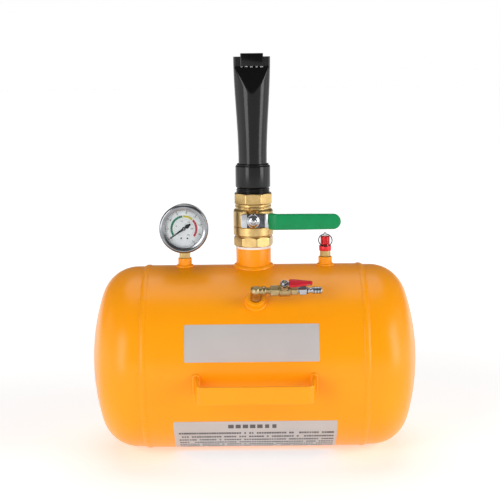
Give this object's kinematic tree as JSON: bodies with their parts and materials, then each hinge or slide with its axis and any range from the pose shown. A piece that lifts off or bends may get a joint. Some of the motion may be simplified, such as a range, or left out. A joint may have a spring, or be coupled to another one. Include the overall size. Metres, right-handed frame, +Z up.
{
  "type": "bead seater blaster tank",
  "caption": "Horizontal air tank with a front carry handle, a lever ball valve and flat blast nozzle on top, a pressure gauge, a ring-pull relief valve and a small inlet valve with a hose plug.",
  "frame": {"origin": "on the floor under the middle of the tank, level with the lowest points of its girth welds", "axes": "+X along the tank towards the relief valve and the hose plug, -Y to the front with the carry handle, +Z up along the neck, valve and nozzle"},
  "size_m": [0.4506, 0.3024, 0.5505],
  "materials": {
    "orange_enamel": "gloss enamel over steel",
    "black_enamel": "gloss enamel over steel",
    "valve_brass": "smooth forged brass",
    "fitting_brass": "plated brass",
    "stainless": "brushed",
    "polished_steel": "polished",
    "green_vinyl": "dipped vinyl",
    "red_vinyl": "dipped vinyl",
    "red_anodised": "red anodised",
    "white_ptfe": "matt",
    "black_rubber": "matt",
    "clear_lens": "clear",
    "white_dial": "matt white",
    "black_pointer": "matt black",
    "label_film": "satin printed film"
  },
  "bodies": {
    "tank": {"tank_shell": "orange_enamel", "left_head": "orange_enamel", "right_head": "orange_enamel", "girth_welds": "orange_enamel", "seam_weld": "orange_enamel", "neck_pipe": "orange_enamel", "neck_weld": "orange_enamel", "neck_tape": "white_ptfe", "gauge_boss": "orange_enamel", "relief_boss": "orange_enamel", "inlet_boss": "orange_enamel", "boss_welds": "orange_enamel", "carry_handle": "orange_enamel", "handle_welds": "orange_enamel", "name_label": "label_film", "caution_label": "label_film", "valve_body": "valve_brass", "valve_end_cap": "valve_brass", "valve_seats": "white_ptfe", "stem_packing": "white_ptfe", "gland_nut": "valve_brass", "nozzle_adapter": "black_enamel", "nozzle_tube": "black_enamel", "nozzle_weld": "black_enamel", "nozzle_hook": "black_enamel", "hook_weld": "black_enamel", "gauge_case": "stainless", "gauge_bezel": "stainless", "gauge_lens": "clear_lens", "lens_gasket": "black_rubber", "gauge_dial": "white_dial", "dial_screws": "stainless", "gauge_socket": "valve_brass", "bourdon_tube": "valve_brass", "gauge_movement": "valve_brass", "relief_body": "valve_brass", "relief_cap": "red_anodised", "relief_spring": "stainless", "inlet_elbow": "fitting_brass", "inlet_valve_body": "fitting_brass", "inlet_insert": "fitting_brass", "inlet_seats": "white_ptfe", "air_plug": "polished_steel"},
    "main_lever": {"valve_ball": "polished_steel", "valve_stem": "valve_brass", "lever_plate": "stainless", "lever_sleeve": "green_vinyl", "lever_nut": "polished_steel"},
    "inlet_lever_set": {"inlet_ball": "polished_steel", "inlet_stem": "fitting_brass", "inlet_packing": "black_rubber", "inlet_lever": "stainless", "inlet_grip": "red_vinyl", "inlet_nut": "polished_steel"},
    "relief_pull": {"relief_stem": "stainless", "relief_disc": "black_rubber"},
    "pull_ring": {"relief_ring": "stainless"},
    "gauge_sector": {"sector_gear": "valve_brass"},
    "gauge_needle": {"pinion_arbor": "valve_brass", "gauge_pointer": "black_pointer"}
  },
  "joints": [
    {"name": "main_lever_turn", "type": "hinge", "parent": "tank", "child": "main_lever", "pos_m": [0, 0, 0.32525], "axis": [0, -1, 0], "range_deg": [0, 90]},
    {"name": "inlet_lever_turn", "type": "hinge", "parent": "tank", "child": "inlet_lever_set", "pos_m": [0.03935, -0.10435, 0.2409], "axis": [0, 0.682, -0.7314], "range_deg": [0, 90]},
    {"name": "relief_pull_up", "type": "slide", "parent": "tank", "child": "relief_pull", "axis": [0, 0, 1], "range_m": [0, 0.003], "stiffness_N_per_m": 2000, "springref_m": -0.002, "deforming": ["relief_spring"]},
    {"name": "relief_ring_swing", "type": "hinge", "parent": "relief_pull", "child": "pull_ring", "pos_m": [0.1, 0, 0.3003], "axis": [-1, 0, 0], "range_deg": [0, 294]},
    {"name": "gauge_sector_turn", "type": "hinge", "parent": "tank", "child": "gauge_sector", "pos_m": [-0.08363, 0, 0.29963], "axis": [0, -1, 0], "range_deg": [0, 45], "stiffness_Nm_per_rad": 0.02, "springref_deg": -5.73},
    {"name": "gauge_needle_turn", "type": "hinge", "parent": "tank", "child": "gauge_needle", "pos_m": [-0.096, 0, 0.312], "axis": [0, 1, 0], "range_deg": [0, 270]}
  ],
  "couplings": [
    {"joint": "gauge_needle_turn", "follows": "gauge_sector_turn", "ratio": 6}
  ]
}
